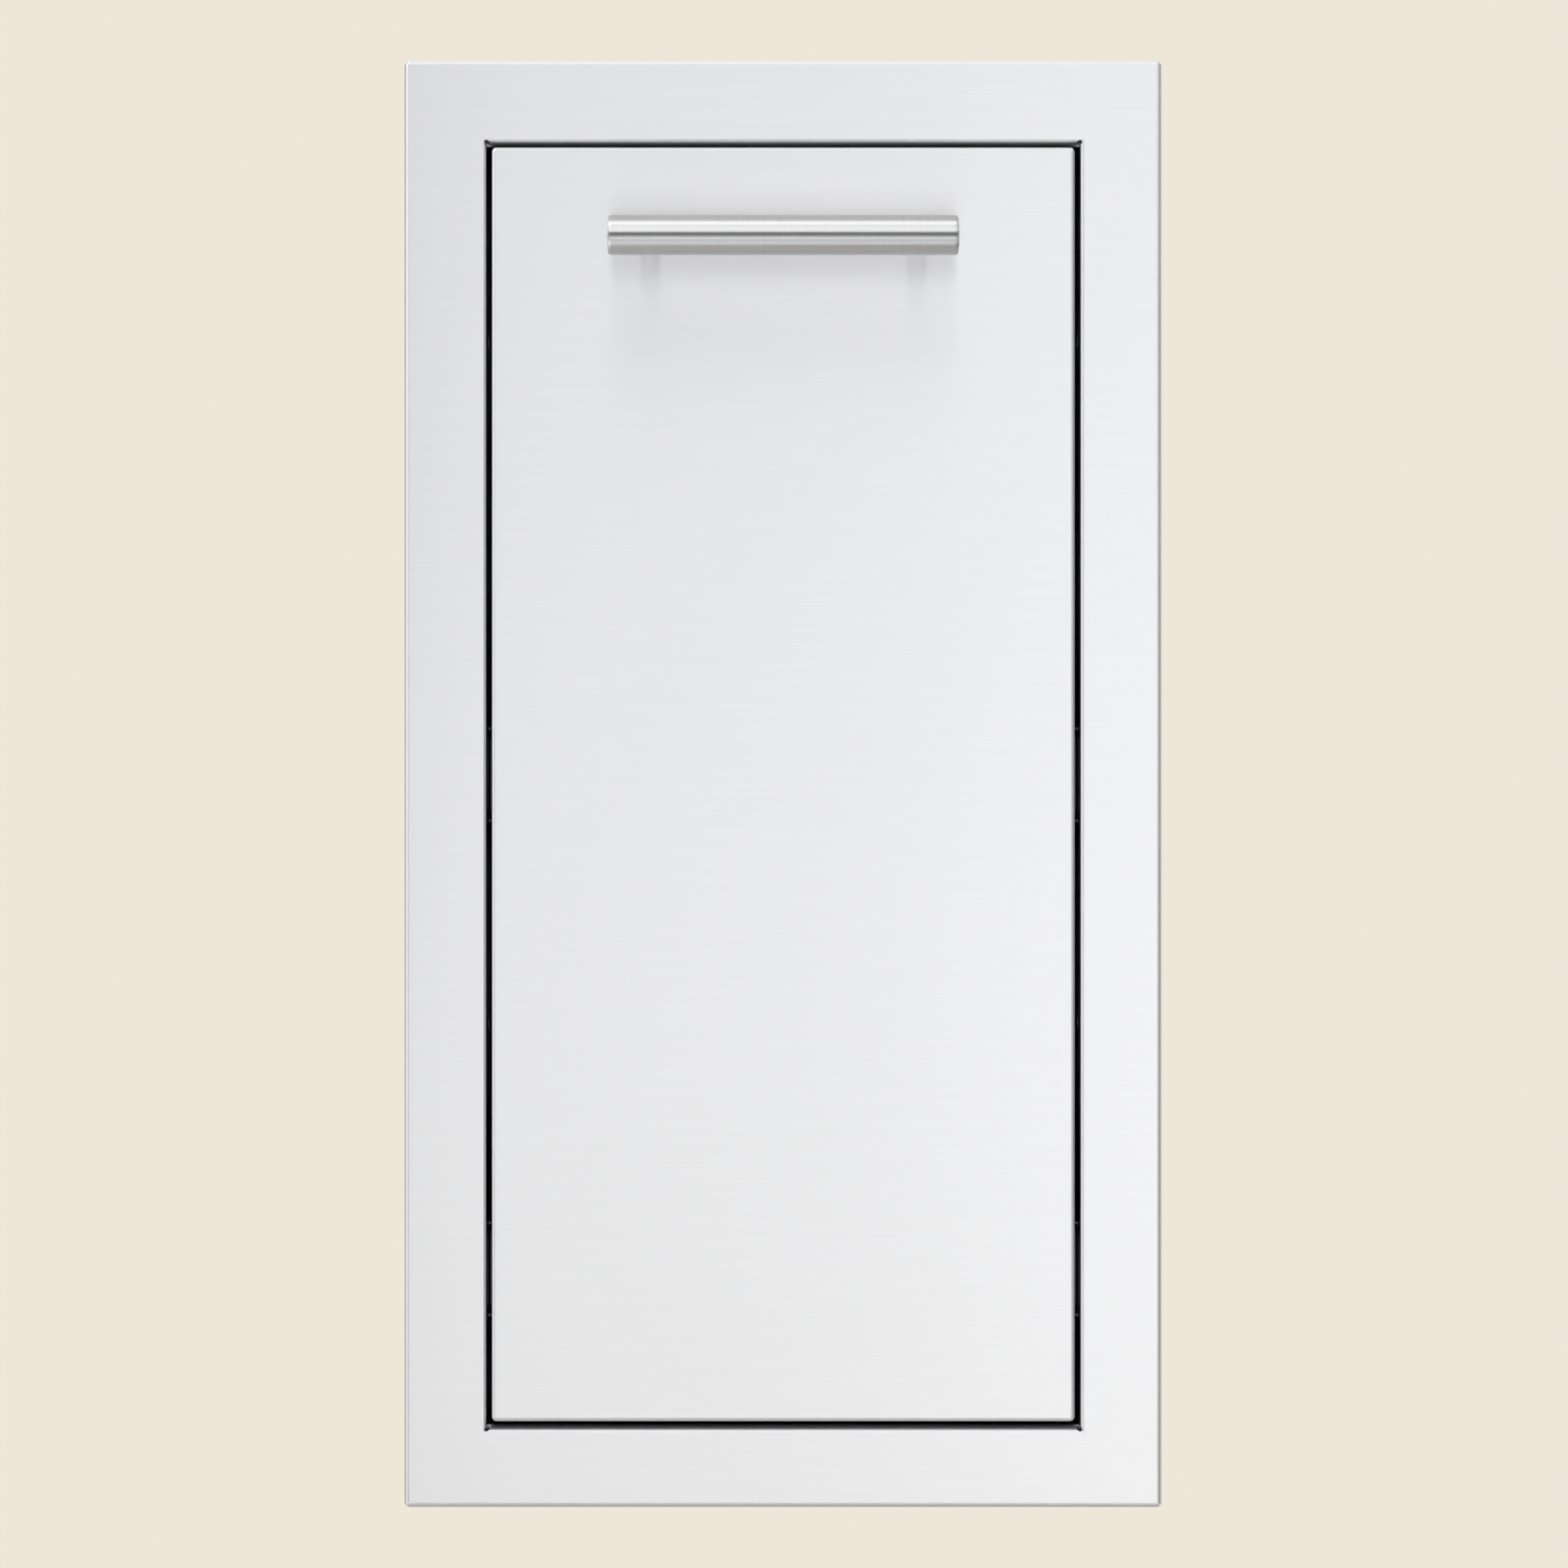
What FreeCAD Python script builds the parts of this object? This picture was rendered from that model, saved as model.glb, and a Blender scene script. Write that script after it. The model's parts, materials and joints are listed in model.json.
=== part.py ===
import FreeCAD, Part
import math
import os
from types import SimpleNamespace

import Sketcher
from FreeCAD import Placement, Rotation, Vector

# Built-in pull-out for an outdoor kitchen: one tall drawer front that carries a drawer below and, above it,
# a tray with an upright spindle for a paper towel roll.
# Millimetres. +X is to the right seen from the front, +Y goes into the wall and +Z is up.
# The origin is the middle of the face frame's lower edge, on the plane where its flange meets the wall.

SIZES = {
    # Face frame, folded from one sheet
    "frame_width": 362,
    "frame_height": 691,
    "frame_depth": 12,
    "frame_sheet": 1.2,
    "frame_bend": 2.4,
    "frame_corner": 2.7,
    "opening_width": 283.4,
    "opening_height": 614.6,
    "opening_drop": 0.8,
    "opening_bend": 2.0,
    "throat_depth": 25,
    "relief_width": 2.2,
    "relief_reach": 0.05,
    "seam_width": 0.4,
    "seam_reach": 2.4,
    # Cabinet behind the frame
    "wall_sheet": 1.0,
    "joint_flange": 15,
    "flange_relief": 1.0,
    "rear_space": 15,
    "fixing_hole": 5.5,
    "fixing_setback": 40,
    "fixing_spacing": 300,
    "fixing_low": 230,
    "fixing_rise": 330,
    # Rivets
    "rivet_shank": 3.2,
    "rivet_head": 6.5,
    "rivet_head_height": 1.2,
    "rivet_tail": 4.6,
    "rivet_tail_height": 2.0,
    "rivet_end_margin": 40,
    # Rubber stops on the back panel
    "bumper_diameter": 18,
    "bumper_taper": 2.0,
    "bumper_clearance": 0.3,
    "bumper_stem": 6.0,
    "bumper_bulb": 9.0,
    "bumper_bulb_height": 2.5,
    # Drawer front
    "front_gap": 2.95,
    "front_side_gap": 2.2,
    "front_lift": 0.65,
    "front_depth": 19,
    "front_sheet": 1.0,
    "front_bend": 2.0,
    "front_corner": 2.2,
    "liner_sheet": 0.8,
    "liner_flange": 12,
    "liner_clearance": 0.1,
    # Handle
    "bar_diameter": 19,
    "bar_length": 166.5,
    "bar_dome": 0.5,
    "bar_edge": 1.8,
    "bar_drop": 44.7,
    "bar_standoff": 32,
    "post_diameter": 9,
    "post_collar": 12.5,
    "post_collar_height": 2.0,
    "post_spacing": 128,
    "post_socket": 4.0,
    "post_clearance": 0.05,
    "post_thread": 12,
    "backing_length": 158,
    "backing_width": 26,
    "backing_sheet": 2.0,
    "plug_hole": 14,
    "plug_head": 18,
    "plug_head_height": 1.6,
    "plug_stem": 4.0,
    # Ball-bearing slides
    "slide_length": 400,
    "slide_setback": 2.0,
    "slide_thickness": 12.7,
    "slide_height": 45.5,
    "slide_sheet": 1.2,
    "cabinet_rail_flange": 9.2,
    "cabinet_rail_lip": 1.6,
    "middle_rail_inset": 2.0,
    "middle_rail_height": 34.9,
    "middle_rail_flange": 8.9,
    "middle_rail_lip": 1.4,
    "drawer_rail_height": 24.3,
    "drawer_rail_flange": 8.1,
    "cage_sheet": 0.4,
    "cage_clearance": 0.2,
    "cage_end": 10,
    "ball_count": 5,
    "ball_pitch": 40,
    "ball_clearance": 0.1,
    "rail_screw_count": 3,
    "rail_screw_start": 35,
    "rail_screw_pitch": 165,
    "access_hole": 9,
    # Drawer and tray
    "tray_sheet": 1.0,
    "tray_bend": 2.0,
    "tray_depth": 400,
    "hem_height": 8.0,
    "drawer_lift": 14.6,
    "drawer_height": 120,
    "drawer_rail_rise": 60,
    "drawer_drain": 8.0,
    "drain_inset": 50,
    "tier_rise": 266,
    "tray_height": 60,
    "tray_rail_rise": 32,
    "upright_width": 30,
    "upright_thickness": 3.0,
    "upright_inset": 4.0,
    "upright_rivet_rise": 20,
    "front_screw_spacing": 180,
    "front_screw_rise": 30,
    # Towel spindle
    "spindle_setback": 100,
    "base_diameter": 90,
    "base_sheet": 3.0,
    "boss_diameter": 32,
    "boss_height": 14,
    "base_screw_circle": 70,
    "base_screw_count": 3,
    "bush_wall": 3.0,
    "bush_flange": 28,
    "bush_flange_height": 2.0,
    "bush_clearance": 0.02,
    "shaft_diameter": 14,
    "shaft_height": 296,
    "shaft_tail": 3.0,
    "shaft_clearance": 0.05,
    "floor_hole": 16,
    "plate_diameter": 120,
    "plate_sheet": 2.0,
    "plate_lift": 0.1,
    "hub_diameter": 26,
    "hub_height": 10,
    "set_screw": 4.0,
    "knob_diameter": 28,
    "knob_height": 20,
    "knob_cover": 6.0,
    "knob_round": 4.0,
    "ring_diameter": 21,
    "ring_sheet": 0.9,
    "ring_groove": 1.0,
    "ring_clearance": 0.05,
    "ring_drop": 2.0,
    # Screws and nuts
    "small_screw": 4.0,
    "large_screw": 5.0,
    "screw_clearance": 0.2,
    "thread_clearance": 0.05,
    "screw_stickout": 1.0,
    "small_head": 8.0,
    "large_head": 9.5,
    "head_height": 2.8,
    "drive_socket": 3.0,
    "drive_depth": 1.6,
    "nut_across_flats": 7.0,
    "nut_height": 3.2,
    "clinch_nut_diameter": 9.0,
    "clinch_nut_height": 4.0,
}

# A border with a bend along each edge leaves each bend a little less than half of its width
BEND_SHARE = 0.45

SIDES = {"left": -1, "right": 1}
FRONTWARD, BACKWARD = Vector(0, -1, 0), Vector(0, 1, 0)
UP, DOWN = Vector(0, 0, 1), Vector(0, 0, -1)


class Size:
    """A length worked out from the sheet: the formula that objects are bound to, and its value."""

    def __init__(self, formula, value):
        self.formula = formula
        self.value = value

    def __add__(self, other):
        other = as_size(other)
        return Size(f"({self.formula} + {other.formula})", self.value + other.value)

    def __sub__(self, other):
        other = as_size(other)
        return Size(f"({self.formula} - {other.formula})", self.value - other.value)

    def __mul__(self, factor):
        return Size(f"({self.formula} * {factor})", self.value * factor)

    def __truediv__(self, divisor):
        return Size(f"({self.formula} / {divisor})", self.value / divisor)

    def __neg__(self):
        return Size(f"(0 - {self.formula})", -self.value)

    __rmul__ = __mul__


def as_size(amount):
    return amount if isinstance(amount, Size) else Size(str(amount), float(amount))


def smaller(one, other):
    return Size(f"min({one.formula}; {other.formula})", min(one.value, other.value))


doc = FreeCAD.newDocument("towel_pull_out")
sheet = doc.addObject("Spreadsheet::Sheet", "Sizes")
for row, (alias, number) in enumerate(SIZES.items(), start=1):
    sheet.set(f"A{row}", alias)
    sheet.set(f"B{row}", str(number))
    sheet.setAlias(f"B{row}", alias)
doc.recompute()
size = SimpleNamespace(**{alias: Size(f"Sizes.{alias}", float(getattr(sheet, alias))) for alias in SIZES})
ball_count = int(size.ball_count.value)
nodes = {}

# Planes that several pieces share, across the unit
frame_half = size.frame_width / 2
opening_half = size.opening_width / 2
wall_inner = opening_half + size.frame_sheet
wall_outer = wall_inner + size.wall_sheet
tray_half = wall_inner - size.slide_thickness
front_half = opening_half - size.front_side_gap

# Planes from front to back
wall_plane = as_size(0)
face = wall_plane - size.frame_depth
throat_rear = face + size.throat_depth
front_rear = face + size.front_depth
tray_rear = front_rear + size.tray_depth
upright_rear = tray_rear + size.upright_thickness
back_inner = upright_rear + size.rear_space
back_outer = back_inner + size.wall_sheet
slide_start = throat_rear + size.slide_setback
cage_length = size.ball_pitch * (ball_count - 1) + size.cage_end * 2
cage_start = slide_start + (size.slide_length - cage_length) / 2
bar_axis = face - size.bar_standoff
spindle_axis = front_rear + size.spindle_setback

# Levels from bottom to top
frame_low = as_size(0)
opening_low = (size.frame_height - size.opening_height) / 2 - size.opening_drop
opening_high = opening_low + size.opening_height
floor_top = opening_low - size.frame_sheet
roof_under = opening_high + size.frame_sheet
front_low = opening_low + size.front_gap + size.front_lift
front_high = opening_high - size.front_gap + size.front_lift
bar_level = front_high - size.bar_drop
drawer_low = opening_low + size.drawer_lift
tray_low = drawer_low + size.tier_rise
tray_floor = tray_low + size.tray_sheet
rail_levels = {"lower": drawer_low + size.drawer_rail_rise, "upper": tray_low + size.tray_rail_rise}

# The frame's bends, limited by its narrowest border
frame_border = smaller(frame_half - opening_half, opening_low - frame_low)
frame_bend = smaller(size.frame_bend, frame_border * BEND_SHARE)
opening_bend = smaller(size.opening_bend, frame_border * BEND_SHARE)


def bind(thing, prop, amount):
    thing.setExpression(prop, as_size(amount).formula)


def place(thing, x, y, z, turn=Rotation()):
    thing.Placement = Placement(Vector(), turn)
    for axis, amount in zip("xyz", (x, y, z)):
        bind(thing, f"Placement.Base.{axis}", amount)


def spot(x, y, z):
    return Vector(*(as_size(amount).value for amount in (x, y, z)))


def node(label, thing):
    thing.Label = label
    nodes[label] = thing
    return thing


def box(name, x, y, z):
    """A block given by its two ends along each axis."""
    made = doc.addObject("Part::Box", name)
    lows = []
    for side, ends in zip(("Length", "Width", "Height"), (x, y, z)):
        low, high = sorted(map(as_size, ends), key=lambda end: end.value)
        bind(made, side, high - low)
        lows.append(low)
    place(made, *lows)
    return made


def fused(name, *pieces):
    made = doc.addObject("Part::MultiFuse", name)
    made.Shapes = list(pieces)
    made.Refine = True
    return made


def cut(name, base, *tools):
    made = doc.addObject("Part::Cut", name)
    made.Base = base
    made.Tool = tools[0] if len(tools) == 1 else fused(f"{name}_tools", *tools)
    return made


def rounded(name, base, radius, chosen):
    """The base with the edges that chosen accepts rounded."""
    doc.recompute()
    made = doc.addObject("Part::Fillet", name)
    made.Base = base
    picked = [number for number, edge in enumerate(base.Shape.Edges, start=1) if chosen(edge.BoundBox)]
    made.Edges = [(number, radius.value, radius.value) for number in picked]
    return made


def runs_along(axis):
    """Accepts straight edges along one axis."""
    others = [other for other in "XYZ" if other != axis]
    return lambda bounds: all(getattr(bounds, f"{other}Length") < 1e-4 for other in others)


def lies_at(axis, level):
    """Accepts edges that lie in one plane across an axis."""
    return lambda bounds: (
        abs(getattr(bounds, f"{axis}Min") - level.value) < 1e-4
        and abs(getattr(bounds, f"{axis}Max") - level.value) < 1e-4
    )


def sketch_on(body, role):
    sketch = body.newObject("Sketcher::SketchObject", f"{body.Name}_outline")
    plane = next(part for part in body.Origin.OriginFeatures if part.Role == role)
    sketch.AttachmentSupport = [(plane, "")]
    sketch.MapMode = "FlatFace"
    return sketch


def pin_point(sketch, edge, end, across, up):
    """Holds one end of an edge at two bound distances from the sketch's origin."""
    for kind, amount, axis in (("DistanceX", across, -2), ("DistanceY", up, -1)):
        amount = as_size(amount)
        if amount.value == 0:
            sketch.addConstraint(Sketcher.Constraint("PointOnObject", edge, end, axis))
        else:
            number = sketch.addConstraint(Sketcher.Constraint(kind, -1, 1, edge, end, amount.value))
            sketch.setExpression(f"Constraints[{number}]", amount.formula)


def draw_outline(sketch, points):
    """A closed outline of straight edges through points bound to the sheet."""
    corners = [spot(across, up, 0) for across, up in points]
    count = len(points)
    for edge in range(count):
        sketch.addGeometry(Part.LineSegment(corners[edge], corners[(edge + 1) % count]))
    for edge in range(count):
        sketch.addConstraint(Sketcher.Constraint("Coincident", edge, 2, (edge + 1) % count, 1))
    for edge, (across, up) in enumerate(points):
        pin_point(sketch, edge, 1, across, up)


def turned(name, points):
    """A turned piece about its own Z axis, from (radius, height) points."""
    body = doc.addObject("PartDesign::Body", name)
    sketch = sketch_on(body, "XZ_Plane")
    draw_outline(sketch, points)
    turn = body.newObject("PartDesign::Revolution", f"{name}_turn")
    turn.Profile = sketch
    turn.ReferenceAxis = (sketch, ["V_Axis"])
    turn.Angle = 360
    return body


def extruded(name, points, length):
    """A section in X and Z drawn out along +Y."""
    body = doc.addObject("PartDesign::Body", name)
    sketch = sketch_on(body, "XZ_Plane")
    draw_outline(sketch, points)
    pad = body.newObject("PartDesign::Pad", f"{name}_pad")
    pad.Profile = sketch
    pad.Reversed = True
    bind(pad, "Length", length)
    return body


def copies(name, master, places):
    """Equal solids in one group, each at a point with its own Z axis along a direction."""
    doc.recompute()
    solids = []
    for point, axis in places:
        solid = master.Shape.copy()
        solid.Placement = Placement(point, Rotation(Vector(0, 0, 1), axis))
        solids.append(solid)
    made = doc.addObject("Part::Feature", name)
    made.Shape = Part.makeCompound(solids)
    return made


def holes(name, diameter, places, reach):
    """Round cutters that reach the same way to both sides of each point."""
    made = doc.addObject("Part::Feature", name)
    made.Shape = Part.makeCompound(
        [
            Part.makeCylinder(diameter.value / 2, 2 * reach.value, point - axis * reach.value, axis)
            for point, axis in places
        ]
    )
    return made


def countersinks(name, places):
    """Cutters for flush screw heads, wide end at each point and narrowing against the direction."""
    shank = (size.small_screw / 2 + size.screw_clearance).value
    depth = size.slide_sheet.value
    made = doc.addObject("Part::Feature", name)
    made.Shape = Part.makeCompound(
        [Part.makeCone(shank + depth, shank, depth, point, -axis) for point, axis in places]
    )
    return made


def diagonal_slots(name, half_width, low, high, width, inward, outward, rear):
    """Round-ended slots on the diagonals of a rectangle's corners, from the face to the rear plane."""
    depth = (rear - face).value
    made = doc.addObject("Part::Feature", name)
    slots = []
    for x, z, angle in (
        (half_width, high, 45),
        (-half_width, high, 135),
        (-half_width, low, 225),
        (half_width, low, 315),
    ):
        slot = Part.makeBox(
            inward.value + outward.value, depth, width.value, spot(-inward, face, -width / 2)
        ).fuse(Part.makeCylinder(width.value / 2, depth, spot(outward, face, 0), BACKWARD))
        slot.Placement = Placement(spot(x, 0, z), Rotation(Vector(0, 1, 0), -angle))
        slots.append(slot)
    made.Shape = Part.makeCompound(slots)
    return made


def pan(name, half_width, low, high, rear, thickness, corner, bend):
    """A shallow folded pan with its face forward and its back open."""
    block = box(f"{name}_block", (-half_width, half_width), (face, rear), (low, high))
    block = rounded(f"{name}_corners", block, corner, runs_along("Y"))
    block = rounded(f"{name}_bends", block, bend, lies_at("Y", face))
    inside = box(
        f"{name}_inside",
        (thickness - half_width, half_width - thickness),
        (face + thickness, rear + thickness),
        (low + thickness, high - thickness),
    )
    return cut(f"{name}_pan", block, inside)


def face_frame():
    outer = pan(
        "frame", frame_half, frame_low, size.frame_height, wall_plane,
        size.frame_sheet, size.frame_corner, frame_bend,
    )
    throat = box("throat", (-wall_inner, wall_inner), (face, throat_rear), (floor_top, roof_under))
    opening = box(
        "opening", (-opening_half, opening_half), (face - size.frame_sheet, throat_rear + size.frame_sheet),
        (opening_low, opening_high),
    )
    folded = cut("frame_open", fused("frame_throat", outer, throat), opening)

    def opening_edge(bounds):
        across = abs(abs(bounds.Center.x) - opening_half.value) < 1e-4 and bounds.XLength < 1e-4
        upright = min(abs(bounds.Center.z - level.value) for level in (opening_low, opening_high)) < 1e-4
        return lies_at("Y", face)(bounds) and (across or upright and bounds.ZLength < 1e-4)

    folded = rounded("frame_bent", folded, opening_bend, opening_edge)
    reliefs = diagonal_slots(
        "reliefs", opening_half, opening_low, opening_high,
        size.relief_width, size.relief_width * 2, size.relief_reach, throat_rear,
    )
    seams = diagonal_slots(
        "seams", frame_half, frame_low, size.frame_height,
        size.seam_width, size.seam_reach * math.sqrt(2), size.seam_reach, wall_plane,
    )
    node("face_frame", cut("face_frame", folded, reliefs, seams))


def evenly(low, high, count):
    return [low + (high - low) * (step / (count - 1)) for step in range(count)]


def rivet(name, grip):
    """A closed rivet: bevelled head above its seat, shank through the grip and a spread tail below it."""
    head, shank, tail = size.rivet_head / 2, size.rivet_shank / 2, size.rivet_tail / 2
    bottom = -grip - size.rivet_tail_height
    return turned(
        name,
        [
            (0, size.rivet_head_height), (head - size.rivet_head_height, size.rivet_head_height), (head, 0),
            (shank, 0), (shank, -grip), (tail, -grip), (tail, bottom), (0, bottom),
        ],
    )


def hexagon(name, across_flats, low, height):
    made = doc.addObject("Part::Prism", name)
    made.Polygon = 6
    bind(made, "Circumradius", across_flats / math.sqrt(3))
    bind(made, "Height", height)
    place(made, 0, 0, low)
    return made


def with_socket(name, screw, top):
    """A screw with a hexagon socket sunk in the top of its head."""
    socket = hexagon(f"{name}_socket", size.drive_socket, top - size.drive_depth, size.drive_depth * 2)
    return cut(name, screw, socket)


def pan_screw(name, shank_diameter, head_diameter, length):
    """A pan-head screw: its seat at zero, its head above and its shank below."""
    head, shank, top = head_diameter / 2, shank_diameter / 2, size.head_height
    screw = turned(
        f"{name}_body",
        [
            (0, top), (head - top / 2, top), (head, top / 2), (head, 0),
            (shank, 0), (shank, -length), (0, -length),
        ],
    )
    return with_socket(name, screw, top)


def flush_screw(name, length):
    """A countersunk screw whose head is as deep as a slide rail's sheet, its top at zero."""
    shank, depth = size.small_screw / 2, size.slide_sheet
    return turned(name, [(0, 0), (shank + depth, 0), (shank, -depth), (shank, -length), (0, -length)])


def hex_nut(name):
    blank = hexagon(f"{name}_blank", size.nut_across_flats, as_size(0), size.nut_height)
    bore = holes(
        f"{name}_bore", size.small_screw + size.thread_clearance * 2, [(Vector(), UP)], size.nut_height * 2
    )
    return cut(name, blank, bore)


def rivet_places():
    """Where the cabinet's panels are riveted to each other's flanges."""
    seam = wall_inner - size.joint_flange / 2
    depths = evenly(throat_rear + size.rivet_end_margin, back_inner - size.rivet_end_margin, 4)
    levels = evenly(floor_top + size.rivet_end_margin, roof_under - size.rivet_end_margin, 5)
    strip = wall_inner - size.joint_flange - size.rivet_end_margin
    places = []
    for side in SIDES.values():
        places += [(spot(side * seam, y, roof_under + size.wall_sheet), UP) for y in depths]
        places += [(spot(side * seam, y, floor_top - size.wall_sheet), DOWN) for y in depths]
        places += [(spot(side * seam, back_outer, z), BACKWARD) for z in levels]
    places += [
        (spot(x, back_outer + size.wall_sheet, z), BACKWARD)
        for x in evenly(-strip, strip, 3)
        for z in (floor_top + size.joint_flange / 2, roof_under - size.joint_flange / 2)
    ]
    return places


def bumper_places():
    across = tray_half - size.upright_inset - size.upright_width / 2
    levels = (drawer_low + size.drawer_height / 2, tray_low - size.bumper_diameter)
    return [(spot(side * across, back_inner, z), FRONTWARD) for side in SIDES.values() for z in levels]


def fixing_places(side):
    """Four screw holes in a side panel, for the frame of the island."""
    return [
        (spot(side * wall_inner, size.fixing_setback + across, size.fixing_low + up), Vector(side, 0, 0))
        for across in (as_size(0), size.fixing_spacing)
        for up in (as_size(0), size.fixing_rise)
    ]


def cabinet_panels():
    rivet_holes = holes(
        "rivet_holes", size.rivet_shank + size.screw_clearance, rivet_places(), size.wall_sheet * 3
    )
    bumper_holes = holes(
        "bumper_holes", size.bumper_stem + size.screw_clearance, bumper_places(), size.wall_sheet * 2
    )
    front = face + size.frame_sheet
    flange_front = throat_rear + size.flange_relief
    rear = back_outer + size.wall_sheet
    for name, side in SIDES.items():
        web = (side * wall_inner, side * wall_outer)
        flange = (side * (wall_inner - size.joint_flange), side * wall_outer)
        height, flange_depth = (floor_top, roof_under), (flange_front, back_inner)
        panel = fused(
            f"{name}_side_folded",
            box(f"{name}_side_web", web, (front, back_inner), height),
            box(f"{name}_side_back", flange, (back_inner - size.wall_sheet, back_inner), height),
            box(f"{name}_side_roof", flange, flange_depth, (roof_under - size.wall_sheet, roof_under)),
            box(f"{name}_side_floor", flange, flange_depth, (floor_top, floor_top + size.wall_sheet)),
        )
        fixings = holes(f"{name}_fixings", size.fixing_hole, fixing_places(side), size.wall_sheet * 2)
        rails = holes(
            f"{name}_rail_fixings", size.small_screw + size.screw_clearance * 2,
            [hole for level in rail_levels for hole in rail_screw_places(side, level, wall_inner, side)],
            size.wall_sheet * 2,
        )
        node(f"{name}_side_panel", cut(f"{name}_side_panel", panel, rivet_holes, fixings, rails))
    across = (-wall_outer, wall_outer)
    for name, inner, outward in (("top", roof_under, 1), ("bottom", floor_top, -1)):
        outer = inner + outward * size.wall_sheet
        plate = box(f"{name}_plate", across, (front, rear), (inner, outer))
        lip = box(f"{name}_lip", across, (back_outer, rear), (inner - outward * size.joint_flange, outer))
        node(f"{name}_panel", cut(f"{name}_panel", fused(f"{name}_folded", plate, lip), rivet_holes))
    plate = box("back_plate", across, (back_inner, back_outer), (floor_top, roof_under))
    node("back_panel", cut("back_panel", plate, rivet_holes, bumper_holes))
    node("panel_rivets", copies("panel_rivets", rivet("panel_rivet", size.wall_sheet * 2), rivet_places()))


def rear_bumpers():
    radius, stem, bulb = size.bumper_diameter / 2, size.bumper_stem / 2, size.bumper_bulb / 2
    height = size.rear_space - size.bumper_clearance
    under = -size.wall_sheet
    bottom = under - size.bumper_bulb_height
    bumper = turned(
        "bumper",
        [
            (0, height), (radius - size.bumper_taper, height), (radius, 0), (stem, 0),
            (stem, under), (bulb, under), (stem, bottom), (0, bottom),
        ],
    )
    node("rear_bumpers", copies("rear_bumpers", bumper, bumper_places()))


def rail_screw_places(side, level, across, facing):
    """The screws along one slide, at a distance across the unit and facing along X."""
    first = slide_start + size.rail_screw_start
    return [
        (spot(side * across, first + size.rail_screw_pitch * step, rail_levels[level]), Vector(facing, 0, 0))
        for step in range(int(size.rail_screw_count.value))
    ]


def channel(web, end, half, thickness, lip=None):
    """A channel's section: its web at one depth and its flanges run to another, with or without lips."""
    inward = 1 if end.value > web.value else -1
    inner = web + inward * thickness
    if lip is None:
        return [
            (web, -half), (end, -half), (end, thickness - half), (inner, thickness - half),
            (inner, half - thickness), (end, half - thickness), (end, half), (web, half),
        ]
    hook = end - inward * thickness
    return [
        (web, -half), (end, -half), (end, thickness + lip - half), (hook, thickness + lip - half),
        (hook, thickness - half), (inner, thickness - half), (inner, half - thickness),
        (hook, half - thickness), (hook, half - thickness - lip), (end, half - thickness - lip),
        (end, half), (web, half),
    ]


def rail(name, section, side, level, start, length):
    """A rail along Y. Its section is drawn from the cabinet wall inward, about the slide's middle."""
    body = extruded(name, [(-side * depth, up) for depth, up in section], length)
    place(body, side * wall_inner, start, rail_levels[level])
    return body


def ball_places(side, level, depth, rise):
    """Two rows of balls, above and below the slide's middle."""
    x, first, middle = side * (wall_inner - depth), cage_start + size.cage_end, rail_levels[level]
    return [
        (spot(x, first + size.ball_pitch * step, middle + row * rise), UP)
        for row in (-1, 1)
        for step in range(ball_count)
    ]


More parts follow.
